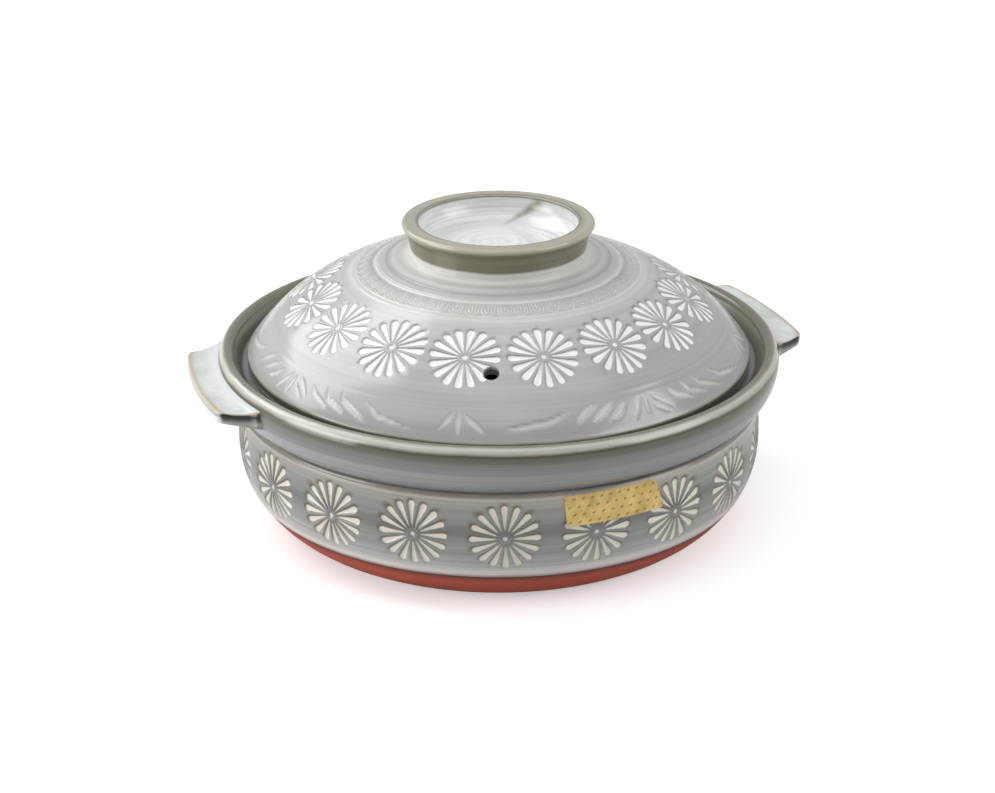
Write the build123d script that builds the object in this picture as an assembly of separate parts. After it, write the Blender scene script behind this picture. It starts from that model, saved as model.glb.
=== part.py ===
from build123d import *
import math
import os

# Earthenware donabe: a wide round pot with a flared collar and two lug ears, and a domed lid with
# a ring grip. Lengths in millimetres, angles in degrees.
# +Z is up, the ears lie on the X axis, and the origin is the middle of the foot on the table.

# Driving sizes of the pot
rim_radius = 150.0
collar_overhang = 9.1
foot_draw_in = 27.4
pot_height = 95.8
belly_height = 44.0
wall_thickness = 8.5
floor_thickness = 8.0

# Foot: a turned ring round a shallow hollow
foot_hollow_depth = 2.5
foot_ring_width = 9.0
foot_ring_edge = 1.2

# Shoulder: the wall ends in a bead, with a groove under the flared collar
shoulder_height = 65.5
shoulder_draw_in = 1.0
groove_depth = 1.0
groove_width = 1.5
collar_foot_rise = 2.0
collar_foot_step = 1.4

# Lip: a thick roll round the mouth
lip_roll_height = 7.3
lip_outer_roll = 4.2
lip_inner_roll = 3.9
lip_inner_drop = 3.5

# Gallery: the sunk ledge inside the lip that carries the lid
gallery_depth = 10.3
gallery_inset = 12.6
gallery_corner_radius = 1.6
ledge_width = 8.9
ledge_edge_radius = 1.5
inner_wall_height = 44.0

# Ears: crescent lugs pressed on to the collar
ear_reach = 15.4
ear_end_half_length = 43.2
ear_end_reach = 17.0
ear_root_half_length = 62.0
ear_root_bury = 3.0
ear_flare_half_length = 49.5
ear_flare_reach = 5.2
ear_corner_radius = 8.0
ear_top_drop = 6.2
ear_dish_radius = 18.0
ear_dish_reach = 9.0
ear_root_thickness = 9.8
ear_tip_thickness = 7.6
ear_top_edge_radius = 1.5
ear_lower_edge_radius = 3.0
ear_lean = 2.75

# Lid: a turned dome that drops into the gallery
lid_thickness = 7.0
lid_side_clearance = 3.0
lid_seat_gap = 0.2
lid_edge_height = 6.3
lid_edge_radius = 2.0
lid_foot_width = 5.0
dome_rise = 57.5
dome_radius_shares = (0.342, 0.575, 0.774, 0.923)
dome_rise_shares = (0.913, 0.743, 0.508, 0.216)
dome_edge_slope_angle = -52.0

# Steam hole, square to the dome
steam_hole_radius = 4.0
steam_hole_inset = 26.4
steam_hole_direction = -111.15

# Ring grip: a thrown ring that stands on the crown of the dome
ring_radius = 51.0
ring_lip_width = 8.8
ring_foot_draw_in = 4.7
ring_dish_width = 11.2
ring_height = 12.5
ring_lip_thickness = 3.6
ring_lip_edge_radius = 1.8
ring_mouth_edge_radius = 1.0
ring_foot_flare = 2.4
ring_waist_share = 0.67
ring_dish_rise_angle = 14.0

# Daisies: stamped in a ring round the wall and in another round the lid
petal_count = 16
petal_root_reach = 2.2
petal_tip_reach = 16.2
petal_tip_radius = 1.75
stamp_depth = 0.75
wall_flower_pitch = 46.0
wall_flower_direction = -108.0
lid_flower_pitch = 38.5
lid_flower_inset = 33.8
lid_flower_direction = -118.95

# Cutters reach this far past what they cut
overrun = 20.0

# Radii and heights that follow from the driving sizes
belly_radius = rim_radius - collar_overhang
foot_radius = belly_radius - foot_draw_in
gallery_foot_radius = rim_radius - gallery_inset
lid_radius = gallery_foot_radius - lid_side_clearance
lid_foot_height = pot_height - gallery_depth + lid_seat_gap
lid_edge_level = lid_foot_height + lid_edge_height
steam_hole_place_radius = lid_radius - steam_hole_inset
lid_flower_place_radius = lid_radius - lid_flower_inset
ring_foot_radius = ring_radius - ring_foot_draw_in
ring_mouth_radius = ring_radius - ring_lip_width
ring_dish_foot_radius = ring_mouth_radius - ring_dish_width


def revolved(section, seam_direction=90):
    """Revolve a flat section of radius and height about the Z axis. The seam lies at the back, away
    from the ears, or where it is told."""
    return Rot(0, 0, seam_direction) * revolve(Plane.XZ * section, Axis.Z)


def round_corners(section, corners):
    """Round the corners of a flat outline, each given as a place and a radius."""
    for corner, radius in corners:
        section = fillet(section.vertices().sort_by_distance(corner)[0], radius)
    return section


def pot_outer_edges():
    """The outside of the pot, from the edge of its foot up to the crest of its lip."""
    foot_edge = (foot_radius, 0)
    belly = (belly_radius, belly_height)
    shoulder = (belly_radius - shoulder_draw_in, shoulder_height)
    groove = (shoulder[0] - groove_depth, shoulder_height + groove_width)
    collar_foot = (groove[0] + collar_foot_step, groove[1] + collar_foot_rise)
    lip_side = (rim_radius, pot_height - lip_roll_height)
    lower_wall = TangentArc(belly, foot_edge, tangent=(0, -1))
    upper_wall = TangentArc(belly, shoulder, tangent=(0, 1))
    collar = TangentArc(lip_side, collar_foot, tangent=(0, -1))
    lip_centre = (rim_radius - lip_outer_roll, lip_side[1])
    lip = EllipticalCenterArc(lip_centre, lip_outer_roll, lip_roll_height, start_angle=0, arc_size=90)
    return [lower_wall, upper_wall, Line(shoulder, groove), Line(groove, collar_foot), collar, lip]


def pot_envelope():
    """The pot as if it were filled, to fit what is pressed on to its outside."""
    crest = (rim_radius - lip_outer_roll, pot_height)
    closing = Polyline(crest, (0, pot_height), (0, 0), (foot_radius, 0))
    return revolved(make_face(Curve() + pot_outer_edges() + closing))


def petal():
    """A petal's outline: a point near the flower's middle, two straight sides and a round tip."""
    lean = math.asin(petal_tip_radius / (petal_tip_reach - petal_root_reach))
    across = petal_tip_radius * math.cos(lean)
    along = petal_tip_reach - petal_tip_radius * math.sin(lean)
    root = (petal_root_reach, 0)
    tip = ThreePointArc((along, across), (petal_tip_reach + petal_tip_radius, 0), (along, -across))
    return make_face(Curve() + [Line(root, (along, across)), tip, Line((along, -across), root)])


def flower_stamp(place, sunk_clay):
    """The petals of one stamp, set square to the clay at a place. They end where the sunk clay
    begins, so that each petal's floor follows the surface."""
    reach = petal_tip_reach + petal_tip_radius
    petals = []
    for step in range(petal_count):
        block = extrude(Rot(0, 0, 360 * step / petal_count) * petal(), reach / 2, both=True)
        petals += (place * block - sunk_clay).solids()
    return petals


def ring_of_flowers(stamp, radius, pitch, first_direction):
    """As many copies of a stamp as the ring has room for, evenly round the axis."""
    count = math.floor(math.tau * radius / pitch)
    directions = [first_direction + 360 * step / count for step in range(count)]
    return [Rot(0, 0, direction) * petals for direction in directions for petals in stamp]


def between_flowers(radius, pitch, first_direction):
    """The direction halfway from the first flower of a ring to the next, where a seam can lie."""
    return first_direction + 180 / math.floor(math.tau * radius / pitch)


def wall_flowers():
    """The flowers round the wall, centred on the belly."""
    lower_wall, upper_wall = pot_outer_edges()[:2]
    inside = foot_radius - foot_ring_width
    closing = Polyline(upper_wall @ 1, (inside, shoulder_height), (inside, 0), (foot_radius, 0))
    section = make_face(Curve() + [lower_wall, upper_wall, closing])
    place = Pos(belly_radius, 0, belly_height) * Rot(0, 90, 0)
    stamp = flower_stamp(place, revolved(Pos(-stamp_depth, 0, 0) * section))
    return ring_of_flowers(stamp, belly_radius, wall_flower_pitch, wall_flower_direction)


def bowl():
    """The thrown pot: foot, wall, collar, lip, gallery and the inside of the bowl."""
    crest = (rim_radius - lip_outer_roll, pot_height)
    ledge_height = pot_height - gallery_depth
    lip_inside = (crest[0] - lip_inner_roll, pot_height - lip_inner_drop)
    lip_inner = EllipticalCenterArc((crest[0], lip_inside[1]), lip_inner_roll, lip_inner_drop,
                                    start_angle=90, arc_size=90)
    ledge_inner_radius = gallery_foot_radius - ledge_width
    floor_height = foot_hollow_depth + floor_thickness
    inner_belly = (belly_radius - wall_thickness, inner_wall_height)
    corner_radius = inner_wall_height - floor_height
    floor_edge = (inner_belly[0] - corner_radius, floor_height)
    gallery = Polyline(lip_inside, (gallery_foot_radius, ledge_height), (ledge_inner_radius, ledge_height))
    inner_wall = Line((ledge_inner_radius, ledge_height), inner_belly)
    inner_corner = TangentArc(floor_edge, inner_belly, tangent=(1, 0))
    ring_inside = foot_radius - foot_ring_width
    under = Polyline(floor_edge, (0, floor_height), (0, foot_hollow_depth),
                     (ring_inside, foot_hollow_depth), (ring_inside, 0), (foot_radius, 0))
    edges = pot_outer_edges() + [lip_inner, gallery, inner_wall, inner_corner, under]
    section = round_corners(make_face(Curve() + edges), [
        ((ledge_inner_radius, ledge_height), ledge_edge_radius),
        ((gallery_foot_radius, ledge_height), gallery_corner_radius),
        ((foot_radius, 0), foot_ring_edge),
        ((ring_inside, 0), foot_ring_edge),
    ])
    return revolved(section) - wall_flowers()


def ear_plan():
    """Seen from above: a long outer curve, rounded corners and ends that flare into the collar."""
    side = rim_radius + ear_reach
    corner = (math.sqrt((rim_radius + ear_end_reach) ** 2 - ear_end_half_length ** 2), ear_end_half_length)
    flare = (math.sqrt((rim_radius + ear_flare_reach) ** 2 - ear_flare_half_length ** 2),
             ear_flare_half_length)
    root = (math.sqrt((rim_radius - ear_root_bury) ** 2 - ear_root_half_length ** 2),
            ear_root_half_length)
    inside = (root[0] - wall_thickness, root[1])
    slant = (flare[0] - corner[0], flare[1] - corner[1])
    edges = [ThreePointArc((corner[0], -corner[1]), (side, 0), corner)]
    for sign in (1, -1):
        near_corner = (corner[0], sign * corner[1])
        near_flare = (flare[0], sign * flare[1])
        near_root = (root[0], sign * root[1])
        edges.append(Line(near_corner, near_flare))
        edges.append(TangentArc(near_flare, near_root, tangent=(slant[0], sign * slant[1])))
        edges.append(Line(near_root, (inside[0], sign * inside[1])))
    edges.append(Line(inside, (inside[0], -inside[1])))
    return round_corners(make_face(Curve() + edges), [
        ((corner[0], sign * corner[1]), ear_corner_radius) for sign in (1, -1)
    ])


def ear_section():
    """Cut through an ear: a dished top that rises to the lip, and an underside that thins outwards."""
    edge_height = pot_height - ear_top_drop
    inner = rim_radius - lip_outer_roll
    outer = rim_radius + ear_end_reach + lip_outer_roll
    dish_centre = rim_radius + ear_dish_reach
    edge_rise = math.sqrt(ear_dish_radius ** 2 - (ear_reach - ear_dish_reach) ** 2)
    dish_level = edge_height + edge_rise
    dish_ends = [(radius, dish_level - math.sqrt(ear_dish_radius ** 2 - (radius - dish_centre) ** 2))
                 for radius in (inner, outer)]
    dish = ThreePointArc(dish_ends[0], (dish_centre, dish_level - ear_dish_radius), dish_ends[1])
    taper = (ear_root_thickness - ear_tip_thickness) / ear_reach
    underside = [(radius, edge_height - ear_root_thickness + taper * (radius - rim_radius))
                 for radius in (outer, inner)]
    edges = [dish, Polyline(dish_ends[1], *underside, dish_ends[0])]
    return revolved(make_face(Curve() + edges))


def edges_in_sight(face):
    """The edges of an ear's top or underside, less the three that are buried in the collar: the
    longest and the two shortest."""
    return face.edges().sort_by(SortBy.LENGTH)[2:-1]


def ear(direction):
    """One ear, pressed on to the collar on the side that the direction points to."""
    block = extrude(ear_plan(), pot_height + overrun)
    lug = block & ear_section()
    lug = fillet(edges_in_sight(lug.faces().sort_by(Axis.Z)[0]), ear_lower_edge_radius)
    lug = fillet(edges_in_sight(lug.faces().sort_by(Axis.Z)[-1]), ear_top_edge_radius)
    return Rot(0, 0, direction) * (lug - pot_envelope())


def dome_outer(base_radius, base_height):
    """The outside of the dome, from its crown down to its widest edge."""
    crown = (0, base_height + dome_rise)
    points = [crown]
    for radius_share, rise_share in zip(dome_radius_shares, dome_rise_shares):
        points.append((base_radius * radius_share, base_height + dome_rise * rise_share))
    points.append((base_radius, base_height))
    slope = math.radians(dome_edge_slope_angle)
    return Spline(*points, tangents=[(1, 0), (math.cos(slope), math.sin(slope))])


def offset_points(edge, distance, count):
    """Points that lie square to an outline at an even distance on its inner side."""
    points = []
    for step in range(count + 1):
        place = edge @ (step / count)
        along = edge % (step / count)
        points.append((place.X + along.Y * distance, place.Y - along.X * distance))
    return points


dome_curve = dome_outer(lid_radius, lid_edge_level)
dome_inner_steps = 6


def lid_dome():
    """The thrown lid: an even dome, a rounded edge and a flat foot that rests on the ledge."""
    crown = dome_curve @ 0
    inner_points = offset_points(dome_curve, lid_thickness, dome_inner_steps)
    inner_points[0] = (0, crown.Y - lid_thickness)
    inner_points[-1] = (inner_points[-1][0], max(inner_points[-1][1], lid_foot_height + lid_edge_radius))
    inner = Spline(*inner_points, tangents=[(1, 0), dome_curve % 1])
    foot_inner = (lid_radius - lid_edge_radius - lid_foot_width, lid_foot_height)
    foot = Polyline((lid_radius, lid_edge_level), (lid_radius, lid_foot_height), foot_inner, inner_points[-1])
    axis_line = Line((0, crown.Y - lid_thickness), (0, crown.Y))
    section = round_corners(make_face(Curve() + [dome_curve, foot, inner, axis_line]), [
        ((lid_radius, lid_edge_level), lid_edge_radius),
        ((lid_radius, lid_foot_height), lid_edge_radius),
    ])
    seam = between_flowers(lid_flower_place_radius, lid_flower_pitch, lid_flower_direction)
    return revolved(section, seam) - lid_flowers() - steam_hole()


def slope_of_dome(radius):
    """The height and the tilt, in degrees, of the dome's outside at a radius."""
    upright = Line((radius, lid_edge_level), (radius, lid_edge_level + dome_rise))
    place = dome_curve.intersect(upright)[0]
    along = dome_curve.tangent_at(place.center())
    return place.Y, math.degrees(math.atan2(-along.Y, along.X))


def steam_hole():
    """A round hole square to the dome."""
    height, tilt = slope_of_dome(steam_hole_place_radius)
    drill = Cylinder(steam_hole_radius, 2 * (lid_thickness + overrun))
    place = Pos(steam_hole_place_radius, 0, height) * Rot(0, tilt, 0)
    return Rot(0, 0, steam_hole_direction) * place * drill


def lid_flowers():
    """The flowers round the lid, square to the dome. Their floors are the dome, let down."""
    height, tilt = slope_of_dome(lid_flower_place_radius)
    sunk = Pos(0, 0, -stamp_depth / math.cos(math.radians(tilt))) * dome_envelope()
    stamp = flower_stamp(Pos(lid_flower_place_radius, 0, height) * Rot(0, tilt, 0), sunk)
    return ring_of_flowers(stamp, lid_flower_place_radius, lid_flower_pitch, lid_flower_direction)


def dome_envelope():
    """The lid as if it were filled, to fit what stands on its crown."""
    crown = dome_curve @ 0
    closing = Polyline((lid_radius, lid_edge_level), (0, lid_edge_level), (0, crown.Y))
    return revolved(make_face(Curve() + [dome_curve, closing]))


def lid_ring_grip():
    """The ring grip: a flared ring with a flat lip, hollowed so that the crown is its floor."""
    crown_height = (dome_curve @ 0).Y
    top = crown_height + ring_height
    base = crown_height - ring_height
    lip_foot = (ring_radius, top - ring_lip_thickness)
    outer_foot = (ring_foot_radius, crown_height - ring_foot_flare)
    dish_foot = (ring_dish_foot_radius, crown_height - ring_foot_flare)
    waist_radius = ring_radius - (ring_radius - ring_foot_radius) * ring_waist_share
    outer = Line((ring_radius, top), lip_foot)
    waist = ThreePointArc(lip_foot, (waist_radius, (lip_foot[1] + crown_height) / 2), outer_foot)
    foot = Polyline(outer_foot, (ring_foot_radius, base), (ring_dish_foot_radius, base), dish_foot)
    rise = math.radians(ring_dish_rise_angle)
    dish = TangentArc(dish_foot, (ring_mouth_radius, top), tangent=(math.cos(rise), math.sin(rise)))
    lip = Line((ring_mouth_radius, top), (ring_radius, top))
    section = round_corners(make_face(Curve() + [outer, waist, foot, dish, lip]), [
        ((ring_radius, top), ring_lip_edge_radius),
        (lip_foot, ring_lip_edge_radius),
        ((ring_mouth_radius, top), ring_mouth_edge_radius),
    ])
    return revolved(section) - dome_envelope()


nodes = {
    "bowl": bowl(),
    "left_ear": ear(180 - ear_lean),
    "right_ear": ear(ear_lean),
    "lid_dome": lid_dome(),
    "lid_ring_grip": lid_ring_grip(),
}

os.makedirs("parts", exist_ok=True)
for name, solid in nodes.items():
    export_step(solid, f"parts/{name}.step")
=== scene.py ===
import math
import bpy
import numpy as np
from mathutils import Matrix, Vector


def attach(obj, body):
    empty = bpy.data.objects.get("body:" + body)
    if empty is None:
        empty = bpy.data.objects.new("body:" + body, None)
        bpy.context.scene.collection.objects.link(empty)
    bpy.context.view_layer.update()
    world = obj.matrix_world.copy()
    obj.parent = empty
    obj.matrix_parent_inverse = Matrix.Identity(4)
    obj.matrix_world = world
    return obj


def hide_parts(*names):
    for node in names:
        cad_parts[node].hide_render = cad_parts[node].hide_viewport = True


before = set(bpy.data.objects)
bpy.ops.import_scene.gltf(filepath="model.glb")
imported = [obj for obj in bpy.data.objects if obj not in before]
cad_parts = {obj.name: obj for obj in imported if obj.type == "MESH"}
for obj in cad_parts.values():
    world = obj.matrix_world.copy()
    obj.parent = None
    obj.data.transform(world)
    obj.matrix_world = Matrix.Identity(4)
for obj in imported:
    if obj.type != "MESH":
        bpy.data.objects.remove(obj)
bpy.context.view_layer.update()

# Camera. It stands a little left of the pot's front and looks down on it, as one does on a
# pot on a table. The lens is long, so that the rims stay nearly parallel.
camera_turn = -19.25
camera_direction = camera_turn - 90
camera_azimuth = math.radians(camera_turn)
camera_elevation = math.radians(22.77)
camera_distance = 1.25
camera_roll = math.radians(-0.11)
camera_view_angle = math.radians(24.38)
camera_shift = -0.00114
looked_at = Vector((0, 0, 0.0608))


def in_scene(name, data):
    """A new object in the scene."""
    made = bpy.data.objects.new(name, data)
    bpy.context.scene.collection.objects.link(made)
    return made


camera_data = bpy.data.cameras.new("camera")
camera = in_scene("camera", camera_data)
toward_camera = Vector((
    math.sin(camera_azimuth) * math.cos(camera_elevation),
    -math.cos(camera_azimuth) * math.cos(camera_elevation),
    math.sin(camera_elevation),
))
to_right = Vector((math.cos(camera_azimuth), math.sin(camera_azimuth), 0))
upward = toward_camera.cross(to_right)
rolled_right = to_right * math.cos(camera_roll) + upward * math.sin(camera_roll)
rolled_up = upward * math.cos(camera_roll) - to_right * math.sin(camera_roll)
turn = Matrix((rolled_right, rolled_up, toward_camera)).transposed().to_4x4()
camera.matrix_world = Matrix.Translation(looked_at + toward_camera * camera_distance) @ turn
camera_data.sensor_fit = "HORIZONTAL"
camera_data.angle = camera_view_angle
camera_data.shift_x = camera_shift
camera_data.clip_start = 0.01
camera_data.clip_end = 60
bpy.context.scene.camera = camera

# Bowl. The real one is coarse brown clay thrown on a wheel, with a flared collar that overhangs
# the wall and a stepped gallery inside the lip. While it was leather hard, nineteen daisies were
# stamped round the wall and wiped full of white slip, and it was glazed down to its bare foot.
mm = 0.001
flowers_on_wall = 19
tile_columns = 32
wall_flower_direction = camera_direction + 1.25
wall_tile_below = 21.0
wall_tile_above = 20.0
stamp_depth = 0.75
petals = 16
petal_step = 360 / petals
petal_half_angle = 6.2
petal_root = 3.6
petal_end = 16.2
petal_end_radius = 1.75
flower_dot_radius = 1.5
stamp_ring_radii = (1.0, 1.6, 2.8, 3.7, 6, 9, 12, 14.2, 15.6, 16.5, 17.4, 18.3)
stamp_column_angles = (0, 3.5, 5.5, 7.4, 11.25, 15.1, 17.0, 19.0)
blend_rings = 3


def bend(centre, size, first, last, count):
    """Points on an arc, or a quarter of an ellipse, between two angles in degrees."""
    across, up = size if isinstance(size, tuple) else (size, size)
    angles = np.radians(np.linspace(first, last, count))
    return [(centre[0] + across * math.cos(a), centre[1] + up * math.sin(a)) for a in angles]


def straight(start, end, count):
    """Points on a straight run, both ends among them."""
    return [tuple(p) for p in np.linspace(start, end, count)]


def path_lengths(profile):
    """How far along its profile each point lies, in mm."""
    steps = np.hypot(*np.diff(np.array(profile), axis=0).T)
    return np.concatenate([[0], np.cumsum(steps)])


def nearest_on(path, x, y):
    """For each point: how far it is from a path, how far along the path its nearest place is, and
    by how much its y falls short of that place."""
    path = np.array(path)
    off = np.full(len(x), 1e9)
    place, short = np.zeros(len(x)), np.zeros(len(x))
    for first, second, start in zip(path[:-1], path[1:], path_lengths(path)):
        run = second - first
        size = np.hypot(*run)
        if size == 0:
            continue
        share = np.clip(((x - first[0]) * run[0] + (y - first[1]) * run[1]) / size ** 2, 0, 1)
        off_x, off_y = x - first[0] - share * run[0], y - first[1] - share * run[1]
        away = np.hypot(off_x, off_y)
        nearer = away < off
        off = np.where(nearer, away, off)
        place = np.where(nearer, start + share * size, place)
        short = np.where(nearer, -off_y, short)
    return off, place, short


def points_of(piece):
    """All of a piece's points, as rows in mm."""
    flat = np.empty(len(piece.data.vertices) * 3, dtype=np.float32)
    piece.data.vertices.foreach_get("co", flat)
    return flat.reshape(-1, 3).astype(float) / mm


def mark(piece, name, values):
    """Keep one number per point under a name, for the glaze to read."""
    kept = piece.data.attributes.get(name) or piece.data.attributes.new(name, "FLOAT", "POINT")
    kept.data.foreach_set("value", np.asarray(values, dtype=np.float32))


def along_profile(piece, profile):
    """How far along the turned profile each of the piece's points lies, in mm."""
    places = points_of(piece)
    return nearest_on(profile, np.hypot(places[:, 0], places[:, 1]), places[:, 2])[1]


def deselect_all():
    bpy.ops.object.select_all(action="DESELECT")


def pick(*chosen):
    """Select these pieces alone, the first of them active."""
    deselect_all()
    for piece in chosen:
        piece.select_set(True)
    bpy.context.view_layer.objects.active = chosen[0]


def new_piece(name, vertices, edges=(), faces=()):
    """A piece from points in mm."""
    mesh = bpy.data.meshes.new(name)
    mesh.from_pydata([tuple(np.array(v) * mm) for v in vertices], list(edges), list(faces))
    return in_scene(name, mesh)


def turned(name, profiles, steps, start_angle=0.0):
    """Spin profiles of radius and height, in mm, round the wheel's axis."""
    vertices, edges = [], []
    a = math.radians(start_angle)
    for profile in profiles:
        first = len(vertices)
        vertices += [(r * math.cos(a), r * math.sin(a), z) for r, z in profile]
        edges += [(first + i, first + i + 1) for i in range(len(profile) - 1)]
    piece = new_piece(name, vertices, edges)
    pick(piece)
    bpy.ops.object.mode_set(mode="EDIT")
    bpy.ops.mesh.select_all(action="SELECT")
    bpy.ops.mesh.spin(steps=steps, angle=math.tau, center=(0, 0, 0), axis=(0, 0, 1))
    bpy.ops.mesh.select_all(action="SELECT")
    bpy.ops.mesh.remove_doubles(threshold=0.01 * mm)
    bpy.ops.object.mode_set(mode="OBJECT")
    return piece


def close_up(piece, gap=0.02):
    """Merge what meets and turn every face outwards."""
    pick(piece)
    bpy.ops.object.mode_set(mode="EDIT")
    bpy.ops.mesh.select_all(action="SELECT")
    bpy.ops.mesh.remove_doubles(threshold=gap * mm)
    bpy.ops.mesh.select_all(action="SELECT")
    bpy.ops.mesh.normals_make_consistent(inside=False)
    bpy.ops.object.mode_set(mode="OBJECT")
    bpy.ops.object.shade_smooth()


def smooth_step(values):
    """Values held between 0 and 1, with a soft start and a soft end."""
    held = np.clip(values, 0, 1)
    return held * held * (3 - 2 * held)


def swell(values, middle, width):
    """1 where values are at the middle, fading to 0 on either side over about the width."""
    return np.exp(-((values - middle) / width) ** 2)


def petal_depth(rho, angle):
    """How far inside the nearest petal's outline each point is, in mm, below zero outside."""
    turned_by = np.radians(angle - petal_step * np.round(angle / petal_step))
    side = rho * np.sin(math.radians(petal_half_angle) - np.abs(turned_by))
    beyond = rho * np.cos(turned_by) - petal_end
    end = petal_end_radius - np.hypot(beyond, rho * np.sin(turned_by))
    shaft = np.minimum(side, rho - petal_root)
    return np.where(beyond > 0, end, shaft)


def stamp(x, y, turned_by):
    """The stamp's relief at points across and up from its middle: how deep, and how much darker colour it
    gets: glaze that pools round the petals, and painted shade, most where a petal's side looks up."""
    def outline(across, up):
        rho = np.hypot(across, up)
        return petal_depth(rho, np.degrees(np.arctan2(up, across)) - turned_by)
    up_x, up_y, up_run = 0.06, -0.22, 0.46
    inside = outline(x, y)
    rho = np.hypot(x, y)
    dot = smooth_step((flower_dot_radius - rho) / 0.7)
    pressed = np.maximum(smooth_step((inside + 0.12) / 0.5), dot)
    faces_up = (outline(x + up_x, y + up_y) - outline(x - up_x, y - up_y)) / up_run
    # Painted shade: the darker colour is weighted to each petal's upper side, where a recess lit from above lies in
    # shade; the rest stands for glaze pooling round the petals.
    pooled_and_shaded = swell(inside, -0.5, 0.8) * (0.1 + 0.9 * np.clip(faces_up, 0, 1))
    return pressed, np.where(rho < petal_root, 0.25 * pooled_and_shaded, pooled_and_shaded)


def flower_tile(half_tile_angle, low, high, surface, turned_by):
    """One stamped flower in its own square of the clay: rings of points round the flower's middle
    that open out to the square's edge, where the next square and the turned rows carry on."""
    petal_angles = [petal_step * p + a for p in range(petals) for a in stamp_column_angles]
    around = np.radians(np.array(petal_angles) + turned_by)
    count = len(petal_angles)
    edge = []
    for k in range(count):
        side, step = divmod((k + tile_columns // 2) % count, tile_columns)
        share = step / tile_columns
        rise = (high - low) * share
        edge.append(((1, low + rise), (1 - 2 * share, high), (-1, high - rise), (-1 + 2 * share, low))[side])
    edge = np.array(edge)
    edge_x = edge[:, 0] * half_tile_angle * surface(edge[:, 1])[0]
    xs = [np.zeros(1)] + [rho * np.cos(around) for rho in stamp_ring_radii]
    ys = [np.zeros(1)] + [rho * np.sin(around) for rho in stamp_ring_radii]
    last_x, last_y = xs[-1], ys[-1]
    for ring in range(1, blend_rings + 1):
        share = ring / blend_rings
        xs.append(last_x * (1 - share) + edge_x * share)
        ys.append(last_y * (1 - share) + edge[:, 1] * share)
    x, y = np.concatenate(xs), np.concatenate(ys)
    pressed, pooled_and_shaded = stamp(x, y, turned_by)
    radius, height, out_r, out_z = surface(y)
    sweep = x / radius
    radius = radius - out_r * pressed * stamp_depth
    height = height - out_z * pressed * stamp_depth
    faces = [(0, 1 + k, 1 + (k + 1) % count) for k in range(count)]
    for ring in range(len(xs) - 2):
        first = 1 + ring * count
        for k in range(count):
            after = (k + 1) % count
            faces.append((first + k, first + count + k, first + count + after, first + after))
    return radius, height, sweep, pressed, pooled_and_shaded, faces


def stamped_band(name, first_direction, turns, low, high, surface):
    """A ring of stamped flowers, each in its own square and turned a little."""
    vertices, faces, pressed, pooled_and_shaded = [], [], [], []
    for index, turned_by in enumerate(turns):
        radius, height, sweep, press, pool_and_shade, tile_faces = flower_tile(
            math.pi / len(turns), low, high, surface, turned_by)
        direction = math.radians(first_direction + 360 / len(turns) * index) + sweep
        first = len(vertices)
        places = np.column_stack([radius * np.cos(direction), radius * np.sin(direction), height])
        vertices.extend(map(tuple, places))
        faces += [tuple(first + i for i in face) for face in tile_faces]
        pressed.append(press)
        pooled_and_shaded.append(pool_and_shade)
    band = new_piece(name, vertices, faces=faces)
    mark(band, "pressed", np.concatenate(pressed))
    mark(band, "pooled_and_shaded", np.concatenate(pooled_and_shaded))
    return band


def joined(pieces):
    """Join pieces into the first of them."""
    pick(*pieces)
    bpy.ops.object.join()
    return pieces[0]


belly_radius = 140.9
belly_height = 44.0
lower_wall_centre = 91.87
lower_wall_radius = 49.03
upper_wall_radius = 231.6


def wall_surface(y):
    """The outside of the wall at arc lengths up from the belly: radius, height and outward slope."""
    bend_radius = np.where(y < 0, lower_wall_radius, upper_wall_radius)
    centre = np.where(y < 0, lower_wall_centre, belly_radius - upper_wall_radius)
    out_r, out_z = np.cos(y / bend_radius), np.sin(y / bend_radius)
    return centre + bend_radius * out_r, belly_height + bend_radius * out_z, out_r, out_z


def wall_points(lengths, inset=0.0):
    """Points on the wall's profile at these arc lengths, drawn in by an inset."""
    r, z, out_r, out_z = wall_surface(np.array(lengths, dtype=float))
    return list(zip(r - out_r * inset, z - out_z * inset))


foot_length = -53.0
glaze_line_length = -25.2
bare_clay_inset = 0.4
under_foot = [(0, 2.5), (60, 2.5), (103.3, 2.5), (104.2, 2.2), (104.5, 1.6),
              (104.7, 0.6), (105.5, 0.05), (107, 0), (111, 0), (112.2, 0.1), (113.0, 0.55)]
bare_wall = wall_points(np.linspace(foot_length, glaze_line_length - 0.5, 6), bare_clay_inset)
glaze_edge = wall_points([glaze_line_length - 0.15], 0.3) + wall_points([glaze_line_length + 0.25], 0.06)
below_flowers = wall_points([glaze_line_length + 0.9, -23.2, -wall_tile_below])
lower_profile = under_foot + bare_wall + glaze_edge + below_flowers

above_flowers = wall_points([wall_tile_above]) + [(140.02, 64.6), (139.98, 65.1), (139.82, 65.5),
                                                  (139.5, 65.8), (139.15, 66.3), (138.95, 67.0),
                                                  (139.1, 67.7), (139.6, 68.3), (140.2, 68.85)]
collar_rows = 26
collar_line_depth = 0.16
collar_shares = np.linspace(0, 1, collar_rows)
collar_lines = collar_line_depth * np.sin(collar_shares * 41) * np.sin(collar_shares * math.pi)
collar = [(r - abs(line), z) for (r, z), line
          in zip(bend((125.55, 88.5), 24.45, -50.5, 0, collar_rows), collar_lines)]
lip = bend((145.8, 88.5), (4.2, 7.3), 11, 90, 9) + bend((145.8, 92.3), (3.9, 3.5), 105, 180, 6)
gallery = [(141.5, 91.7), (140.4, 90.0), (139.3, 88.3), (138.7, 87.4), (138.2, 86.5), (137.5, 85.85),
           (136.6, 85.55), (135.6, 85.5), (133, 85.5), (130.6, 85.5), (129.6, 85.35), (128.9, 84.8),
           (128.55, 84.0), (128.6, 82)]
inner_wall = straight((128.7, 80), (132.4, 44), 4)
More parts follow.
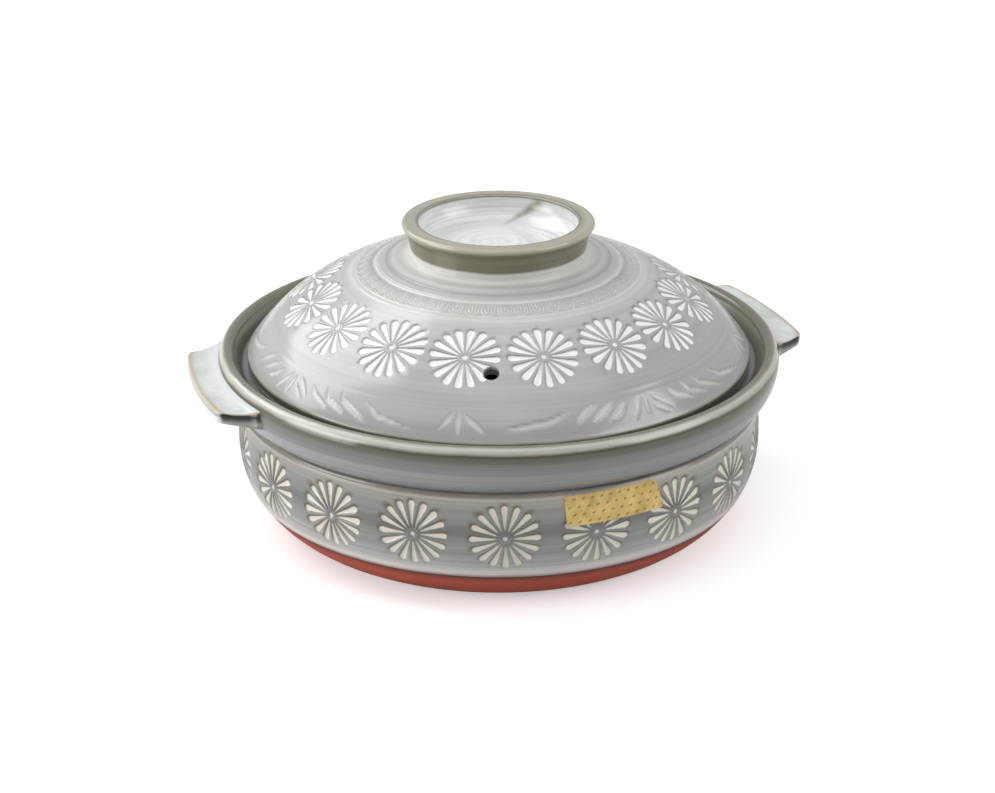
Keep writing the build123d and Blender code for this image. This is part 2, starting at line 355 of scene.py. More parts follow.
inner_floor = bend((98.9, 44), 33.5, -8, -90, 8) + [(75, 10.5), (40, 10.5), (20, 10.5), (8, 10.5), (0, 10.5)]
upper_profile = above_flowers + collar + lip + gallery + inner_wall + inner_floor
bowl_profile = lower_profile + wall_points(np.linspace(-20, 19, 40)) + upper_profile

wall_turns = np.random.default_rng(7).uniform(-4.5, 4.5, flowers_on_wall)
bowl = turned("bowl_thrown", [lower_profile, upper_profile], flowers_on_wall * tile_columns,
              wall_flower_direction - 180 / flowers_on_wall)
wall_band = stamped_band("wall_flowers", wall_flower_direction, wall_turns,
                         -wall_tile_below, wall_tile_above, wall_surface)
bowl = joined([bowl, wall_band])
close_up(bowl)
mark(bowl, "along", along_profile(bowl, bowl_profile))


def node(tree, kind, *inputs, **settings):
    """Add a shader node. Each input is a socket's name or number and what goes into it."""
    made = tree.nodes.new(kind)
    for key, value in settings.items():
        setattr(made, key, value)
    for place, value in inputs:
        if isinstance(value, bpy.types.NodeSocket):
            tree.links.new(value, made.inputs[place])
        else:
            made.inputs[place].default_value = value
    return made


def maths(tree, kind, first, second=0.0, third=0.0, clamp=False):
    """A node that reckons with up to three values."""
    return node(tree, "ShaderNodeMath", (0, first), (1, second), (2, third),
                operation=kind, use_clamp=clamp).outputs[0]


def fired(red, green, blue):
    """A colour as it shows in daylight, from 0 to 255, as the shader counts it."""
    shares = [c / 255 for c in (red, green, blue)]
    return tuple(c / 12.92 if c <= 0.04045 else ((c + 0.055) / 1.055) ** 2.4 for c in shares) + (1.0,)


def rings(tree, place, stops):
    """Colours or values that change along a turned profile, from places in mm."""
    stops = sorted(stops)
    length = stops[-1][0]
    ramp = node(tree, "ShaderNodeValToRGB", (0, maths(tree, "DIVIDE", place, length)))
    elements = ramp.color_ramp.elements
    while len(elements) < len(stops):
        elements.new(0.5)
    for element, (stop, _) in zip(elements, stops):
        element.position = stop / length
    for element, (_, value) in zip(elements, stops):
        element.color = fired(*value) if isinstance(value, tuple) else (value, value, value, 1)
    return ramp.outputs[0]


def mixed(tree, share, first, second, kind="MIX"):
    """One colour over another by a share, or multiplied by it."""
    return node(tree, "ShaderNodeMix", (0, share), (6, first), (7, second),
                data_type="RGBA", blend_type=kind).outputs[2]


def attribute(tree, name):
    """A number that the mesh's points carry."""
    return node(tree, "ShaderNodeAttribute", attribute_name=name).outputs["Fac"]


def noise(tree, vector, scale, detail=3.0, roughness=0.5):
    return node(tree, "ShaderNodeTexNoise", ("Vector", vector), ("Scale", scale), ("Detail", detail),
                ("Roughness", roughness)).outputs["Fac"]


def new_material(name):
    """A material, its node tree and its shader."""
    material = bpy.data.materials.new(name)
    material.use_nodes = True
    return material, material.node_tree, material.node_tree.nodes["Principled BSDF"]


def darkened(tree, colour, level):
    """A colour times a level of grey."""
    grey = node(tree, "ShaderNodeCombineColor", (0, level), (1, level), (2, level)).outputs[0]
    return mixed(tree, 1.0, colour, grey, "MULTIPLY")


def roughen(tree, shader, height, strength, distance):
    """Relief too fine for the mesh, in the shading alone."""
    bump = node(tree, "ShaderNodeBump", ("Height", height), ("Strength", strength), ("Distance", distance))
    tree.links.new(bump.outputs[0], shader.inputs["Normal"])


def wheel_vector(tree, place, round_wave=0.35):
    """Coordinates that run along the profile and hardly change round the wheel."""
    spot = node(tree, "ShaderNodeTexCoord").outputs["Object"]
    rise = node(tree, "ShaderNodeCombineXYZ", ("Z", place)).outputs[0]
    for kind, by in (("MULTIPLY", (1, 1, 0)), ("NORMALIZE", (0, 0, 0)),
                     ("MULTIPLY", (round_wave, round_wave, 0)), ("ADD", rise)):
        spot = node(tree, "ShaderNodeVectorMath", (0, spot), (1, by), operation=kind).outputs[0]
    return spot


white_slip = fired(214, 208, 194)
# Olive for glaze that pools in the stamps, which also serves as painted shade on their upper sides.
olive_pool_and_shade = fired(82, 68, 44)
brushed_grey = fired(172, 178, 188)


def stoneware(name, colours, gloss, wheel_strength=0.5, slip=white_slip, pool_and_shade=olive_pool_and_shade, cloud=0.1,
              slip_edge=0.45, brushed_to=0.0):
    """Clear gloss glaze over slip and clay: ring colours along the profile, among them painted shade and
    highlights, cloudy drift, fine specks, the wheel's lines, brushed slip up to a place along the profile,
    slip in what was stamped, and darker glaze where it pools, together with painted shade on the stamps."""
    material, tree, shader = new_material(name)
    place = attribute(tree, "along")
    spot = node(tree, "ShaderNodeTexCoord").outputs["Object"]
    wander = maths(tree, "MULTIPLY_ADD", noise(tree, spot, 55, 4, 0.6), 1.6, -0.8)
    colour = rings(tree, maths(tree, "ADD", place, wander), colours)
    brush = noise(tree, wheel_vector(tree, place, 1.5), 0.5, 4, 0.65)
    bare = maths(tree, "MULTIPLY_ADD", brush, 4.5, -2.1, clamp=True)
    bare = maths(tree, "MULTIPLY", bare, maths(tree, "LESS_THAN", place, brushed_to))
    colour = mixed(tree, maths(tree, "MULTIPLY", bare, 0.6), colour, brushed_grey)
    lines = noise(tree, wheel_vector(tree, place), 0.9, 5, 0.7)
    broad = noise(tree, wheel_vector(tree, place, 1.1), 0.32, 3, 0.55)
    cloudy = noise(tree, spot, 24, 5, 0.65)
    specks = noise(tree, spot, 1500, 2, 0.6)
    level = 1.0
    for unevenness, amount in ((lines, 0.4 * wheel_strength), (broad, 0.7 * wheel_strength),
                               (cloudy, 2 * cloud), (specks, 0.2)):
        share = maths(tree, "MULTIPLY_ADD", unevenness, amount, 1 - amount / 2)
        level = maths(tree, "MULTIPLY", level, share)
    colour = darkened(tree, colour, level)
    fine = noise(tree, spot, 420, 3, 0.6)
    worn = maths(tree, "MULTIPLY_ADD", fine, 0.5, -0.25 - slip_edge)
    slip_share = maths(tree, "MULTIPLY", maths(tree, "ADD", attribute(tree, "pressed"), worn), 2.6, clamp=True)
    slip_share = maths(tree, "MULTIPLY", slip_share, 0.95)
    # The pooled mark darkens the colour both for glaze that pools and for painted shade.
    pool_and_shade_share = maths(tree, "MULTIPLY", attribute(tree, "pooled_and_shaded"),
                       maths(tree, "MULTIPLY_ADD", fine, 0.8, 0.6), clamp=True)
    colour = mixed(tree, pool_and_shade_share, colour, pool_and_shade)
    colour = mixed(tree, slip_share, colour, slip)
    tree.links.new(colour, shader.inputs["Base Color"])
    dull_spots = maths(tree, "MULTIPLY_ADD", noise(tree, spot, 180, 3, 0.6), 0.1, -0.05)
    roughness = maths(tree, "ADD", rings(tree, place, gloss), dull_spots, clamp=True)
    tree.links.new(roughness, shader.inputs["Roughness"])
    shader.inputs["IOR"].default_value = 1.6
    height = maths(tree, "MULTIPLY_ADD", lines, 0.7 * wheel_strength, maths(tree, "MULTIPLY", fine, 0.12))
    roughen(tree, shader, height, 0.3, 0.0003)
    return material


def place_on(profile, radius, height):
    """The place along a profile that is nearest a given radius and height."""
    return float(nearest_on(profile, np.array([float(radius)]), np.array([float(height)]))[1][0])


wall_line = place_on(bowl_profile, *wall_points([glaze_line_length])[0])
wall_belly = place_on(bowl_profile, belly_radius, belly_height)
wall_bead = place_on(bowl_profile, 139.9, 65.4)
collar_start = place_on(bowl_profile, 139.0, 67.2)
collar_end = place_on(bowl_profile, 150, 88.5)
lip_top = place_on(bowl_profile, 145.8, 95.8)
gallery_foot = place_on(bowl_profile, 137.4, 85.6)
bowl_length = float(path_lengths(bowl_profile)[-1])
bare_clay = (162, 68, 46)
bowl_colours = [
    (wall_line - 7, bare_clay), (wall_line - 2.6, (124, 50, 36)), (wall_line - 1.5, (60, 22, 17)),
    (wall_line + 0.2, (66, 34, 30)), (wall_line + 1.5, (204, 195, 190)),
    (wall_line + 5, (190, 188, 184)), (wall_line + 11, (148, 149, 147)),
    (wall_belly + 4, (104, 105, 104)), (wall_belly + 16, (138, 139, 134)),
    (wall_bead - 2.6, (144, 142, 135)), (wall_bead - 1.2, (184, 174, 166)),
    (wall_bead - 0.5, (142, 137, 131)), (wall_bead + 0.5, (200, 192, 184)),
    # Painted shadow: the near-black band in the groove under the collar's overhang.
    (wall_bead + 1.1, (68, 64, 56)), (collar_start, (30, 28, 23)),
    (collar_start + 1.8, (84, 84, 82)), (collar_start + 3.4, (108, 108, 108)),
    (collar_start + 8, (124, 126, 128)), (collar_end - 8, (132, 133, 136)),
    # Under the lip's roll the olive is thin glaze, darkened further with painted shade. The light band on the roll
    # is the pale slip with a painted highlight, and the darker crest above it is a painted dark reflection.
    (collar_end - 1, (100, 101, 95)), (lip_top - 5.8, (72, 70, 52)),
    (lip_top - 4.3, (150, 147, 135)), (lip_top - 3.6, (206, 203, 192)),
    (lip_top - 2.7, (212, 209, 200)), (lip_top - 2.0, (136, 134, 122)),
    (lip_top, (110, 108, 95)), (lip_top + 6, (138, 136, 116)),
    (gallery_foot - 2, (124, 123, 112)), (gallery_foot + 4, (138, 142, 148)),
    (gallery_foot + 14, (120, 120, 112)), (gallery_foot + 24, (168, 169, 170)),
    (bowl_length, (178, 179, 178)),
]
bowl_gloss = [(0, 0.85), (wall_line - 0.3, 0.82), (wall_line + 0.8, 0.16), (bowl_length, 0.14)]
bowl.data.materials.clear()
bowl.data.materials.append(stoneware("glaze_on_bowl", bowl_colours, bowl_gloss, wheel_strength=1.0))
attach(bowl, "pot")
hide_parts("bowl")

# Ears. The real ones are lugs of the same clay, pressed in a mould, luted to the collar while
# soft and smoothed off with a wet finger. The glaze runs thin and brown over their edges.
ear_top = 89.7
ear_low_edge = 82.6
ear_root_reach = 151.5
ear_root_draw_in = 1.6
clay_grain = 0.6


def ear_glaze():
    """The bowl's glaze on an ear: bluish grey, with painted shade below, a painted highlight at the root,
    breaking to brown along the edges, and near black at the ends from brown glaze and painted shade."""
    material, tree, shader = new_material("glaze_on_ears")
    spot = node(tree, "ShaderNodeTexCoord").outputs["Object"]
    drift = noise(tree, spot, 60, 5, 0.65)
    flow = node(tree, "ShaderNodeMapping", ("Vector", spot), ("Scale", (90, 30, 400))).outputs[0]
    streaks = noise(tree, flow, 1.0, 4, 0.6)
    specks = noise(tree, spot, 1400, 2, 0.6)
    fine = noise(tree, spot, 260, 4, 0.7)
    cloudy = maths(tree, "MULTIPLY_ADD", drift, 1.6, -0.35, clamp=True)
    colour = mixed(tree, cloudy, fired(220, 224, 224), fired(178, 182, 176))
    level = maths(tree, "MULTIPLY_ADD", maths(tree, "ADD", streaks, specks), 0.26, 0.74)
    colour = darkened(tree, colour, level)
    wear = maths(tree, "MULTIPLY", attribute(tree, "thin"),
                 maths(tree, "MULTIPLY_ADD", fine, 1.7, 0.1), clamp=True)
    # Painted shade on the ear's underside and on its ends.
    colour = mixed(tree, attribute(tree, "under"), colour, fired(112, 113, 104))
    # Painted highlight along the root, where the top meets the lip.
    colour = mixed(tree, attribute(tree, "root_highlight"), colour, fired(207, 210, 210))
    colour = mixed(tree, wear, colour, fired(174, 156, 128))
    # Near black on the ends and just under the top edge: thin brown glaze, darkened further with painted shade.
    colour = mixed(tree, attribute(tree, "brown_end_and_shade"), colour, fired(28, 20, 11))
    tree.links.new(colour, shader.inputs["Base Color"])
    tree.links.new(maths(tree, "MULTIPLY_ADD", wear, 0.2, 0.15), shader.inputs["Roughness"])
    shader.inputs["IOR"].default_value = 1.5
    height = maths(tree, "ADD", maths(tree, "MULTIPLY", fine, 0.25), drift)
    roughen(tree, shader, height, 0.3, 0.0006)
    return material


glaze_on_ears = ear_glaze()
for ear_name, ear_direction in (("left_ear", 177.25), ("right_ear", 2.75)):
    ear = in_scene(ear_name + "_luted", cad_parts[ear_name].data.copy())
    ear.data.materials.clear()
    close_up(ear, 0.01)
    places = points_of(ear)
    reach = np.hypot(places[:, 0], places[:, 1])
    drawn_in = smooth_step((ear_root_reach - reach) / 2.0) * ear_root_draw_in
    places[:, 0] -= places[:, 0] / reach * drawn_in
    places[:, 1] -= places[:, 1] / reach * drawn_in
    ear.data.vertices.foreach_set("co", (places * mm).astype(np.float32).ravel())
    pick(ear)
    remesh = ear.modifiers.new("clay", "REMESH")
    remesh.mode = "VOXEL"
    remesh.voxel_size = clay_grain * mm
    bpy.ops.object.modifier_apply(modifier=remesh.name)
    soften = ear.modifiers.new("wet_finger", "SMOOTH")
    soften.factor = 0.5
    soften.iterations = 6
    bpy.ops.object.modifier_apply(modifier=soften.name)
    bpy.ops.object.shade_smooth()
    places = points_of(ear)
    height = places[:, 2]
    reach = np.hypot(places[:, 0], places[:, 1])
    direction = np.arctan2(places[:, 1], places[:, 0]) - math.radians(ear_direction)
    direction = np.degrees((direction + math.pi) % math.tau - math.pi)
    bins = np.arange(-26, 26.5, 0.5)
    outer = np.array([reach[np.abs(direction - b) < 0.5].max(initial=150) for b in bins])
    outer = np.convolve(np.pad(outer, 2, mode="edge"), np.ones(5) / 5, mode="valid")
    to_outer = np.interp(direction, bins, outer) - reach
    top_edge = swell(to_outer, 0.6, 2.0) * swell(height, ear_top, 1.4)
    low_edge = swell(to_outer, 0, 2.6) * swell(height, ear_low_edge, 1.3)
    under_edge = swell(to_outer, 0.4, 1.3) * swell(height, ear_top - 2.5, 0.9)
    flat = np.empty(len(places) * 3, dtype=np.float32)
    ear.data.vertices.foreach_get("normal", flat)
    faces_out = flat.reshape(-1, 3).astype(float)
    sideways = np.abs(faces_out[:, 1] * places[:, 0] - faces_out[:, 0] * places[:, 1]) / reach
    ends = smooth_step((sideways - 0.45) / 0.3) * smooth_step((np.abs(direction) - 14.5) / 1.5)
    # Marks for the glaze: thin brown glaze on the edges, a painted highlight at the root, brown glaze with painted
    # shade on the ends and under the top edge, and painted shade below.
    brown_end_and_shade = ends * smooth_step((height - ear_low_edge) / 3.4)
    mark(ear, "thin", np.clip(1.3 * top_edge + 0.2 * low_edge, 0, 1))
    mark(ear, "root_highlight", swell(reach, ear_root_reach, 2.2) * smooth_step((height - 87.0) / 1.5))
    mark(ear, "brown_end_and_shade", np.clip(0.92 * brown_end_and_shade + 0.6 * under_edge, 0, 1))
    mark(ear, "under", np.clip(smooth_step((84.0 - height) / 4.0) + 0.7 * ends, 0, 1))
    ear.data.materials.append(glaze_on_ears)
    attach(ear, "pot")
    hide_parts(ear_name)

# Lid. The real one is a dome of the same clay, thrown on the wheel. A band of small loops, sixteen
# daisies and a wreath of leaves are stamped in it under the clear glaze, and one hole lets out steam.
lid_radius = 134.4
lid_thickness = 7.0
dome_places = [(0, 149.5), (45.96, 144.5), (77.28, 134.72), (104.03, 121.21), (124.05, 104.42),
               (lid_radius, 92.0)]
dome_edge_slope = math.tan(math.radians(-52))
flowers_on_lid = 16
lid_flower_radius = 100.6
lid_flower_direction = camera_direction - 9.7
lid_tile_reach = 19.2
leaf_rows = 22
leaf_band_end = 133.2


def dome_slopes():
    """The slopes at the given places of an even curve that is level at the crown."""
    places = np.array(dome_places)
    gaps = np.diff(places[:, 0])
    rises = np.diff(places[:, 1]) / gaps
    count = len(places)
    rows, known = np.eye(count), np.zeros(count)
    known[-1] = dome_edge_slope
    for i in range(1, count - 1):
        rows[i, i - 1:i + 2] = gaps[i], 2 * (gaps[i - 1] + gaps[i]), gaps[i - 1]
        known[i] = 3 * (gaps[i] * rises[i - 1] + gaps[i - 1] * rises[i])
    return np.linalg.solve(rows, known)


dome_slope = dome_slopes()


def dome(radii):
    """Height and slope of the dome's outside at the given radii."""
    radii = np.clip(np.asarray(radii, dtype=float), 0, lid_radius)
    places = np.array(dome_places)
    i = np.clip(np.searchsorted(places[:, 0], radii, side="right") - 1, 0, len(places) - 2)
    gap = places[i + 1, 0] - places[i, 0]
    t = (radii - places[i, 0]) / gap
    first, last = places[i, 1], places[i + 1, 1]
    start, end = dome_slope[i] * gap, dome_slope[i + 1] * gap
    height = (first * (2 * t ** 3 - 3 * t ** 2 + 1) + start * (t ** 3 - 2 * t ** 2 + t)
              + last * (3 * t ** 2 - 2 * t ** 3) + end * (t ** 3 - t ** 2))
    slope = (first * (6 * t ** 2 - 6 * t) + start * (3 * t ** 2 - 4 * t + 1)
             + last * (6 * t - 6 * t ** 2) + end * (3 * t ** 2 - 2 * t)) / gap
    return height, slope


dome_radii = np.linspace(0, lid_radius, 2689)
dome_lengths = path_lengths(np.column_stack([dome_radii, dome(dome_radii)[0]]))
lid_flower_length = float(np.interp(lid_flower_radius, dome_radii, dome_lengths))


def lid_surface(y):
    """The dome at arc lengths up from the flowers' ring: radius, height and outward slope."""
    radius = np.interp(lid_flower_length - np.asarray(y, dtype=float), dome_lengths, dome_radii)
    height, slope = dome(radius)
    size = np.hypot(slope, 1)
    return radius, height, -slope / size, 1 / size


def dome_at(radii, inset=0.0):
    """Radii and heights of places on the dome, sunk square into it by an inset."""
    height, slope = dome(radii)
    size = np.hypot(slope, 1)
    return np.asarray(radii) + slope / size * inset, height - inset / size


def dome_points(radii, inset=0.0):
    """The same as a list of points for a profile."""
    return list(zip(*dome_at(radii, inset)))


def scored(radii):
    """Rows for a fine line scored round the dome at each radius."""
    rows, depths = [], []
    for r in radii:
        rows += [r - 0.7, r - 0.4, r - 0.2, r, r + 0.2, r + 0.4, r + 0.7]
        depths += [0, 0, 0.06, 0.1, 0.06, 0, 0]
    return rows, depths


tile_top = float(lid_surface(lid_tile_reach)[0])
tile_foot = float(lid_surface(-lid_tile_reach)[0])
line_rows, line_depths = scored([59.2, 64.0, 65.6, 75.9, 78.4])
plain_rows = [0, 6, 14, 22, 28, 31, 36, 41, 44, 46.3, 47.2, 48.5, 50.5, 53, 56, 61.7, 68.4, 71.8,
              77.15, 80.2, tile_top]
crown_radii = np.array(plain_rows + line_rows)
crown_depths = np.array([0.0] * len(plain_rows) + line_depths)
order = np.argsort(crown_radii)
crown = dome_points(crown_radii[order], crown_depths[order])

lid_edge = [(133.9, 92.5), (134.2, 92.0), (134.4, 91.2), (134.4, 88.8), (134.35, 87.4), (134.0, 86.5),
            (133.3, 85.95), (132.3, 85.72), (130, 85.7), (128.3, 85.7), (127.5, 86.0), (127.2, 86.8)]
lid_inner = dome_points([131.2, 129.5, 124, 112, 96, 78, 56, 30, 0], lid_thickness)
lid_lower = dome_points([leaf_band_end]) + lid_edge + lid_inner
lid_profile = crown + dome_points(np.linspace(tile_top + 1, 132.9, 40)) + lid_lower

lid_columns = flowers_on_lid * tile_columns
lid_start = lid_flower_direction - 180 / flowers_on_lid
lid = turned("lid_thrown", [crown, lid_lower], lid_columns, lid_start)
lid_turns = np.random.default_rng(11).uniform(-4, 4, flowers_on_lid)
lid_band = stamped_band("lid_flowers", lid_flower_direction, lid_turns,
                        -lid_tile_reach, lid_tile_reach, lid_surface)

leaf_strokes = [
    [(-1.2, 124.6), (-4.5, 131.7)], [(0, 124.7), (-0.3, 131.4)],
    [(1.6, 124.5), (4.1, 127.4), (6.9, 130.7)], [(1.3, 127.8), (5.4, 131.8)],
    [(6.6, 124.7), (8.5, 127.7), (13.7, 130.8)], [(11.5, 124.1), (13.1, 127.9), (18.9, 130.9)],
    [(16.1, 123.5), (17.3, 126.9), (25.3, 132.1)], [(22.8, 124.6), (26.6, 128.9), (35.2, 131.2)],
    [(44.8, 124.3), (41.8, 130.7)], [(45.8, 123.9), (46, 132.3)], [(46.9, 124.9), (52, 131.3)],
    [(70.9, 125), (66, 128), (55.2, 130.2)], [(78, 123.3), (74, 127), (71.7, 130.2)],
    [(81.9, 124.3), (78, 128), (75.6, 130.3)], [(84.5, 125.7), (82.3, 128.7), (79.9, 130.3)],
]
leaf_wreath_direction = camera_direction + 35.2
leaf_wreath_radius = 127.5
leaf_half_width = 1.35
leaf_depth = 0.45


def leaf_mask(directions, lengths):
    """The wreath's leaves: how deep each point lies in one, and how near its upper edge, which gets painted shade.
    """
    deep, upper = np.zeros(len(directions)), np.zeros(len(directions))
    for first_direction in leaf_wreath_direction + np.array([0, 90, 180, 270]):
        for stroke in leaf_strokes:
            places = np.array([(math.radians(first_direction + a) * leaf_wreath_radius,
                                np.interp(r, dome_radii, dome_lengths)) for a, r in stroke])
            middle = places[:, 0].mean() / leaf_wreath_radius
            off = (directions - middle + math.pi) % math.tau - math.pi
            near = np.abs(off) < 0.3
            away, place, short = nearest_on(places, (off[near] + middle) * leaf_wreath_radius, lengths[near])
            share = np.clip(place / path_lengths(places)[-1], 0.04, 0.96)
            width = leaf_half_width * np.sin(np.pi * share) ** 0.75
            inside = smooth_step((width - away) / 0.9 + 0.25)
            edge = swell(away, width, 0.55) * np.clip(short / np.maximum(away, 0.1), 0, 1) * (width > 0.5)
            deep[near] = np.maximum(deep[near], inside)
            upper[near] = np.maximum(upper[near], edge)
    return deep, upper


def leaf_wreath():
    """The band of leaves, twice as finely divided round the lid as the rest of it."""
    fine = 2 * lid_columns
    rows = [tile_foot, *np.linspace(tile_foot + 1.0, 132.6, leaf_rows), leaf_band_end]
    counts = [lid_columns] + [fine] * leaf_rows + [lid_columns]
    starts = [sum(counts[:row]) for row in range(len(counts))]
    directions = np.concatenate([math.radians(lid_start) + np.arange(n) * math.tau / n for n in counts])
    radii = np.repeat(rows, counts)
    deep, upper = leaf_mask(directions, np.interp(radii, dome_radii, dome_lengths))
    joint = np.repeat([True] + [False] * leaf_rows + [True], counts)
    deep[joint], upper[joint] = 0, 0
    scored_line = 0.12 * swell(radii, 122.2, 0.35)
    reach, heights = dome_at(radii, deep * leaf_depth + scored_line * ~joint)
    places = np.column_stack([reach * np.cos(directions), reach * np.sin(directions), heights])
    faces = []
    for k in range(lid_columns):
        nxt = (k + 1) % lid_columns
        a, b = starts[1] + 2 * k, starts[1] + 2 * nxt
        faces.append((k, a, a + 1, b, nxt))
        a, b = starts[-2] + 2 * k, starts[-2] + 2 * nxt
        faces.append((starts[-1] + k, starts[-1] + nxt, b, a + 1, a))
    for row in range(1, len(starts) - 2):
        for k in range(fine):
            nxt = (k + 1) % fine
            faces.append((starts[row] + k, starts[row + 1] + k, starts[row + 1] + nxt, starts[row] + nxt))
    wreath = new_piece("leaf_wreath", places, faces=faces)
    mark(wreath, "leaf", deep)
    # Painted shade along the leaves' upper edges, given to the glaze as the pooled mark.
    mark(wreath, "pooled_and_shaded", upper * 0.6)
    return wreath


lid = joined([lid, lid_band, leaf_wreath()])
close_up(lid)

steam_hole_radius = 4
steam_hole_reach = 108.0
steam_hole_direction = math.radians(-111.15)
steam_height, steam_slope = (float(value) for value in dome(steam_hole_reach))
steam_place = Vector((steam_hole_reach * math.cos(steam_hole_direction),
                      steam_hole_reach * math.sin(steam_hole_direction), steam_height))
deselect_all()
bpy.ops.mesh.primitive_cylinder_add(
    vertices=48, radius=steam_hole_radius * mm, depth=40 * mm, location=steam_place * mm,
    rotation=(0, -math.atan(steam_slope), steam_hole_direction))
steam_drill = bpy.context.object
pick(lid)
drilling = lid.modifiers.new("steam_hole", "BOOLEAN")
drilling.object = steam_drill
drilling.solver = "EXACT"
bpy.ops.object.modifier_apply(modifier=drilling.name)
bpy.data.objects.remove(steam_drill)
bpy.ops.object.shade_smooth_by_angle(angle=math.radians(50))
mark(lid, "along", along_profile(lid, lid_profile))


def at(radius):
    """The place along the lid's profile at a radius of its outside."""
    return place_on(lid_profile, radius, dome(radius)[0])


lid_rim = place_on(lid_profile, lid_radius, 91)
lid_foot = place_on(lid_profile, 132.3, 85.72)
lid_length = float(path_lengths(lid_profile)[-1])
lid_grey = (180, 180, 177)
fine_slip = (212, 212, 208)
lid_colours = [
    # The pale ring just round the grip's foot, out to at(52.5), is a painted highlight.
    (0, (230, 231, 230)), (at(31), (226, 227, 227)), (at(46), (214, 213, 210)), (at(49.5), (212, 212, 208)),
    (at(52.5), (186, 186, 183)), (at(57), (190, 190, 188)), (at(59.2), (150, 151, 151)),
    (at(60.4), (180, 180, 177)), (at(63.4), lid_grey), (at(64), fine_slip), (at(64.8), (170, 170, 168)),
    (at(65.6), fine_slip), (at(66.3), (174, 174, 171)), (at(75.2), (178, 178, 174)), (at(75.9), fine_slip),
    (at(77.1), (172, 172, 169)), (at(78.4), fine_slip), (at(79.4), lid_grey), (at(98), (170, 170, 167)),
    (at(112), (162, 162, 160)), (at(124), (164, 164, 164)), (at(130), (158, 158, 159)),
    # At the rim: a painted highlight line on the rolled edge, then the edge below it darker, partly from darker
    # glaze and partly painted shade.
    (lid_rim - 3.2, (154, 154, 153)), (lid_rim - 1.7, (180, 178, 173)), (lid_rim - 1.1, (160, 157, 150)),
    (lid_rim - 0.5, (90, 87, 78)), (lid_rim + 2.5, (72, 68, 58)), (lid_foot - 1, (96, 78, 64)),
    (lid_foot + 2, bare_clay), (lid_foot + 8, (160, 158, 150)), (lid_length, (176, 176, 172)),
]
lid_gloss = [(0, 0.16), (lid_foot - 2, 0.16), (lid_foot, 0.8), (lid_foot + 4, 0.8), (lid_foot + 8, 0.2),
             (lid_length, 0.2)]
glaze_on_lid = stoneware("glaze_on_lid", lid_colours, lid_gloss, wheel_strength=0.6, brushed_to=at(33),
                         slip=fired(240, 240, 236), pool_and_shade=fired(126, 124, 122), cloud=0.06, slip_edge=0.3)
lid_tree = glaze_on_lid.node_tree
lid_shader = lid_tree.nodes["Principled BSDF"]
leaf_share = maths(lid_tree, "MULTIPLY", attribute(lid_tree, "leaf"), 0.5)
under_leaf = lid_shader.inputs["Base Color"].links[0].from_socket
with_leaves = mixed(lid_tree, leaf_share, under_leaf, fired(212, 211, 206))
lid_tree.links.new(with_leaves, lid_shader.inputs["Base Color"])
lid.data.materials.clear()
lid.data.materials.append(glaze_on_lid)
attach(lid, "lid")
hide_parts("lid_dome")

# Loops. The real ones are one small roulette stamp of nested hanging loops, run round the dome
# between its two pairs of scored lines and wiped full of white slip.
loop_count = 54
loop_top_radius = 66.2
loop_line_width = 0.6
loop_lift = 0.07
loop_sink = 0.3


def hanging(half_width, start, drop, count):
    """A line that hangs from the scored line and turns up again, in mm across and down from it."""
    return [(-half_width, start), *bend((0, drop), half_width, 180, 0, count), (half_width, start)]


loop_strokes = [hanging(3.3, 0.3, 5.6, 11), hanging(1.75, 0.6, 5.2, 9), [(0, 0.8), (0, 3.0), (0, 5.4)]]
loop_top_length = float(np.interp(loop_top_radius, dome_radii, dome_lengths))


def inlay(stroke, direction, vertices, faces):
    """Lay a stroke on the dome as a thin strip sunk into it."""
    points = np.array(stroke)
    ahead = np.gradient(points, axis=0)
    ahead /= np.hypot(*ahead.T)[:, None]
    across = np.column_stack([-ahead[:, 1], ahead[:, 0]]) * loop_line_width / 2
    count = len(points)
    corner = [len(vertices) + count * i for i in range(4)]
    for side, inset in ((1, -loop_lift), (-1, -loop_lift), (-1, loop_sink), (1, loop_sink)):
        flat = points + side * across
        radius = np.interp(loop_top_length + flat[:, 1], dome_lengths, dome_radii)
        sweep = direction + flat[:, 0] / radius
        reach, height = dome_at(radius, inset)
        vertices.extend(zip(reach * np.cos(sweep), reach * np.sin(sweep), height))
    for i in range(4):
        a, b = corner[i], corner[(i + 1) % 4]
        faces.extend((a + k, b + k, b + k + 1, a + k + 1) for k in range(count - 1))
    faces.append(tuple(corner))
    faces.append(tuple(c + count - 1 for c in reversed(corner)))


loop_vertices, loop_faces = [], []
for index in range(loop_count):
    for stroke in loop_strokes:
        inlay(stroke, math.tau * index / loop_count, loop_vertices, loop_faces)
loops = new_piece("stamped_loops", loop_vertices, faces=loop_faces)
close_up(loops, 0.001)
slip_material, slip_tree, slip_shader = new_material("slip_in_loops")
slip_spot = node(slip_tree, "ShaderNodeTexCoord").outputs["Object"]
slip_wear = noise(slip_tree, slip_spot, 300, 4, 0.7)
slip_level = maths(slip_tree, "MULTIPLY_ADD", slip_wear, 2.2, -0.6, clamp=True)
slip_colour = mixed(slip_tree, slip_level, fired(184, 184, 182), fired(216, 216, 212))
slip_tree.links.new(slip_colour, slip_shader.inputs["Base Color"])
slip_shader.inputs["Roughness"].default_value = 0.2
loops.data.materials.append(slip_material)
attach(loops, "lid")

